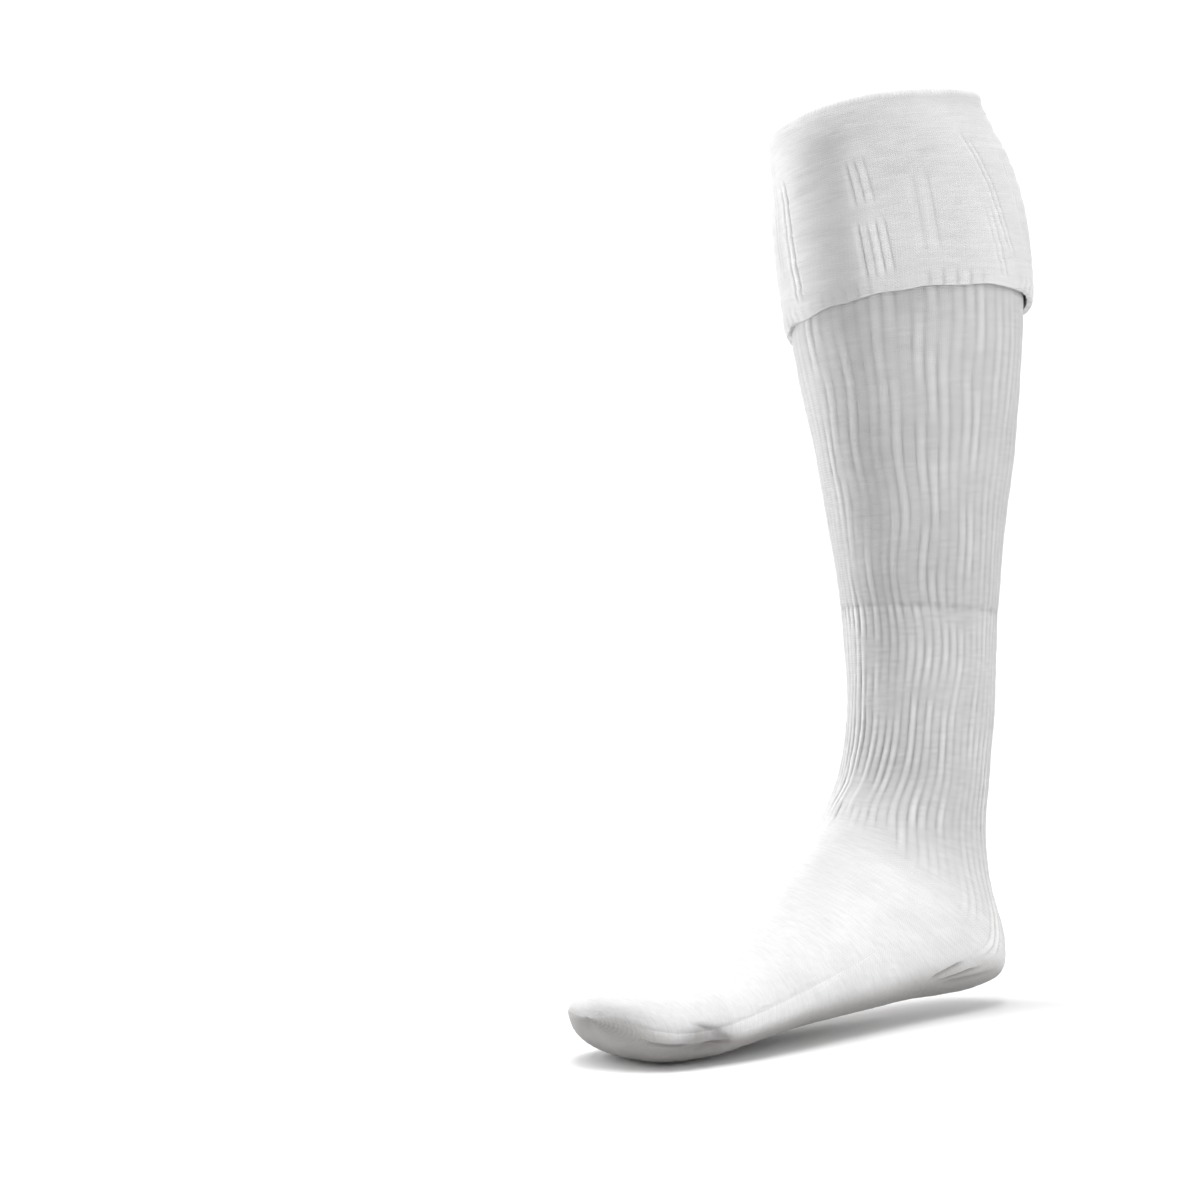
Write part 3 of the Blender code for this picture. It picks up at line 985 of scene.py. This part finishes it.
def fetch_yarn(tree):
    yarn = tree.nodes.new("ShaderNodeGroup")
    yarn.node_tree = YARN
    place = tree.nodes.new("ShaderNodeTexCoord").outputs["Object"]
    tree.links.new(place, yarn.inputs["Place"])
    tree.links.new(attribute(tree, "rolled")["Vector"], yarn.inputs["Rolled counts"])
    return yarn.outputs


# %% [markdown]
# The colour runs from the knit's white to its shade. Painted shade in the gaps between
# stitches and in the kept valleys, soft patches and uneven rows all push it towards the shade.
# The sole goes on from there to a darker grey of painted shade, because hardly any light
# reaches it from below.

# %% The colour of a knit
VALLEY_SHARE, PATCH_SHARE, ROW_SHARE, SOLE_SHARE = 0.75, 0.35, 0.35, 0.9
PAINTED_SOLE_SHADE = (0.26, 0.245, 0.235, 1.0)


def blend(tree, factor, first, second):
    node = tree.nodes.new("ShaderNodeMix")
    node.data_type = "RGBA"
    give(tree, node.inputs["Factor"], factor)
    give(tree, node.inputs["A"], first)
    give(tree, node.inputs["B"], second)
    return node.outputs["Result"]


def knit_colour(tree, stitches, yarn, white, shade, gap_shade):
    dark = math_node(tree, "MULTIPLY", stitches["Gap"], gap_shade)
    dark = add_share(tree, dark, attribute(tree, "valley")["Fac"], VALLEY_SHARE)
    patches = math_node(tree, "SUBTRACT", yarn["Patches"], 0.5)
    dark = add_share(tree, dark, patches, PATCH_SHARE)
    rows = math_node(tree, "SUBTRACT", yarn["Uneven rows"], 0.5)
    dark = add_share(tree, dark, rows, ROW_SHARE, clamp=True)
    colour = blend(tree, dark, (*white, 1.0), (*shade, 1.0))
    # Painted shade under the sole, from the kept sole number.
    under = math_node(tree, "MULTIPLY", attribute(tree, "sole")["Fac"], SOLE_SHARE)
    return blend(tree, under, colour, PAINTED_SOLE_SHADE)


# %% [markdown]
# The surface is matt, with a weak sheen where fuzz catches light from the side. Single
# stitches are finer than a mesh should be, so they are bump in the material, while every
# larger form is real geometry.

# %% A cotton knit, with its own white, its own shade and its own stitch and row depth
LEAST_ROUGH, FUZZ_ROUGH, FUZZ_DEPTH = 0.70, 0.22, 0.10


def cotton_knit(name, white, shade, stitch_depth, row_depth, gap_shade):
    material = bpy.data.materials.new(name)
    material.use_nodes = True
    tree = material.node_tree
    shader = tree.nodes["Principled BSDF"]
    stitches, yarn = fetch_stitches(tree), fetch_yarn(tree)
    colour = knit_colour(tree, stitches, yarn, white, shade, gap_shade)
    tree.links.new(colour, shader.inputs["Base Color"])
    rough = math_node(tree, "MULTIPLY_ADD", yarn["Fuzz"], FUZZ_ROUGH, LEAST_ROUGH)
    tree.links.new(rough, shader.inputs["Roughness"])

    height = math_node(tree, "MULTIPLY", stitches["Height"], stitch_depth)
    height = add_share(tree, height, yarn["Uneven rows"], row_depth)
    height = add_share(tree, height, yarn["Fuzz"], FUZZ_DEPTH)
    bump = tree.nodes.new("ShaderNodeBump")
    bump.inputs["Strength"].default_value = 0.8
    bump.inputs["Distance"].default_value = 0.0006
    tree.links.new(height, bump.inputs["Height"])
    tree.links.new(bump.outputs["Normal"], shader.inputs["Normal"])

    shader.inputs["Sheen Weight"].default_value = 0.35
    shader.inputs["Sheen Roughness"].default_value = 0.45
    shader.inputs["Specular IOR Level"].default_value = 0.25
    return material


# %% [markdown]
# The whites differ a little. The plain foot is brightest, then comes the smooth cuff, and the
# calf is greyest: its lower white is painted shade, because less light comes back from between
# its ribs. The ankle and the toe share the white of the foot, so that no border shows between
# them.

# %% Every section gets its knit
FOOT_WHITE, FOOT_SHADE = (0.92, 0.914, 0.916), (0.38, 0.375, 0.376)
FINISHES = {
    cuff: cotton_knit("cuff cotton", (0.89, 0.884, 0.888), (0.46, 0.455, 0.458), 0.45, 0.9, 0.26),
    # The calf's greyer white is painted shade between its ribs.
    calf: cotton_knit("calf cotton", (0.82, 0.814, 0.817), (0.40, 0.395, 0.398), 0.55, 0.8, 0.26),
    ankle: cotton_knit("ankle cotton", FOOT_WHITE, FOOT_SHADE, 0.50, 0.5, 0.24),
    foot: cotton_knit("foot cotton", FOOT_WHITE, FOOT_SHADE, 0.45, 0.4, 0.24),
    toe: cotton_knit("toe cotton", FOOT_WHITE, FOOT_SHADE, 0.50, 0.4, 0.24),
}
for piece, finish in FINISHES.items():
    piece.data.materials.clear()
    piece.data.materials.append(finish)
    print(piece.name, "wears", finish.name)

# %% [markdown]
# ## The studio
#
# The sock stands in the middle of a round, pale sweep: a floor whose edge curves up all
# around, so no horizon cuts the picture from any side. A broad light hangs above, and one
# stands on each side, a little behind: that leaves the shin softly shaded, with both edges
# bright. Four more lights are aimed at the wall of the sweep, which keeps it white.

# %% A round sweep: a disc whose edge is drawn out and up in short steps
def round_sweep(name, floor_height, reach, bend, wall):
    clear_selection()
    bpy.ops.mesh.primitive_circle_add(
        vertices=96, radius=reach, fill_type="NGON", location=(0, 0, floor_height))
    piece = bpy.context.object
    piece.name = name
    bpy.ops.object.mode_set(mode="EDIT")
    bpy.ops.mesh.select_mode(type="EDGE")
    bpy.ops.mesh.select_all(action="SELECT")
    radius, steps = reach, 16
    for k in range(1, steps + 2):
        if k <= steps:
            turn, before = math.pi / 2 * k / steps, math.pi / 2 * (k - 1) / steps
            grown = reach + bend * math.sin(turn)
            rise = bend * (math.cos(before) - math.cos(turn))
        else:
            grown, rise = radius, wall
        bpy.ops.mesh.extrude_edges_move(TRANSFORM_OT_translate={"value": (0, 0, rise)})
        wider = grown / radius
        bpy.ops.transform.resize(value=(wider, wider, 1), center_override=(0, 0, 0))
        radius = grown
    bpy.ops.object.mode_set(mode="OBJECT")
    bpy.ops.object.transform_apply(location=True, rotation=True, scale=True)
    bpy.ops.object.shade_smooth()
    return piece


# %% The floor just under the sock
FLOOR_GAP = 0.0002
lowest = min(float(corners(piece.data)[:, 2].min()) for piece in FINISHES)
sweep = round_sweep("studio_sweep", lowest - FLOOR_GAP, reach=2.4, bend=1.2, wall=0.35)
paper = bpy.data.materials.new("backdrop paper")
paper.use_nodes = True
paper_shader = paper.node_tree.nodes["Principled BSDF"]
paper_shader.inputs["Base Color"].default_value = (0.90, 0.90, 0.90, 1.0)
paper_shader.inputs["Roughness"].default_value = 0.9
sweep.data.materials.append(paper)
print("floor at", round(lowest * 1000, 1), "mm")

# %% Lights
MIDDLE_OF_LEG = Vector((0.0, -0.02, 0.22))


def towards(degrees, distance, height):
    """A place around the leg, by the angle that the rings use."""
    turn = math.radians(degrees)
    return Vector((math.sin(turn) * distance, math.cos(turn) * distance, height))


def softbox(name, place, target, size, power):
    data = bpy.data.lights.new(name, "AREA")
    data.shape = "RECTANGLE"
    data.size, data.size_y = size
    data.energy = power
    lamp = bpy.data.objects.new(name, data)
    bpy.context.scene.collection.objects.link(lamp)
    lamp.location = place
    lamp.rotation_euler = (target - place).to_track_quat("-Z", "Y").to_euler()


softbox("light above", Vector((0.1, -0.25, 2.0)), MIDDLE_OF_LEG, (1.1, 1.1), 27.0)
softbox("light right", towards(72, 1.5, 0.75), MIDDLE_OF_LEG, (1.0, 1.2), 7.5)
softbox("light left", towards(248, 1.5, 0.55), MIDDLE_OF_LEG, (0.9, 1.2), 18.5)
for facing, power in ((40, 36.0), (130, 11.0), (220, 36.0), (310, 42.0)):
    lamp_place, wall_place = towards(facing, 1.3, 2.4), towards(facing, 3.4, 0.8)
    softbox(f"wall wash {facing}", lamp_place, wall_place, (1.6, 0.6), power)
print("lights:", ", ".join(sorted(light.name for light in bpy.data.lights)))

# %% Light from all around
world = bpy.data.worlds.new("studio air")
bpy.context.scene.world = world
world.use_nodes = True
air = world.node_tree.nodes["Background"]
air.inputs["Color"].default_value = (1.0, 1.0, 1.0, 1.0)
air.inputs["Strength"].default_value = 0.32
print(world.name, "of strength", round(air.inputs["Strength"].default_value, 2))

# %% [markdown]
# The camera looks slightly upwards at the outer side of the leg, from a hand's height above
# the floor, with a long lens so that the foot isn't swollen by perspective.

# %% Camera
CAMERA_FORWARD = Vector((-0.8372, 0.5460, 0.0317)).normalized()
CAMERA_RIGHT = Vector((0.5436, 0.8370, -0.0621)).normalized()
CAMERA_PLACE = Vector((0.9408, -0.8055, 0.1653))
camera_data = bpy.data.cameras.new("camera")
camera_data.sensor_width = 36.0
camera_data.lens = 73.53
camera_data.clip_start = 0.05
camera = bpy.data.objects.new("camera", camera_data)
bpy.context.scene.collection.objects.link(camera)
up = CAMERA_RIGHT.cross(CAMERA_FORWARD)
turn = Matrix((CAMERA_RIGHT, up, -CAMERA_FORWARD)).transposed()
camera.matrix_world = Matrix.Translation(CAMERA_PLACE) @ turn.to_4x4()
bpy.context.scene.camera = camera
bpy.context.scene.view_settings.view_transform = "Standard"
print("camera at", [round(v, 3) for v in CAMERA_PLACE])
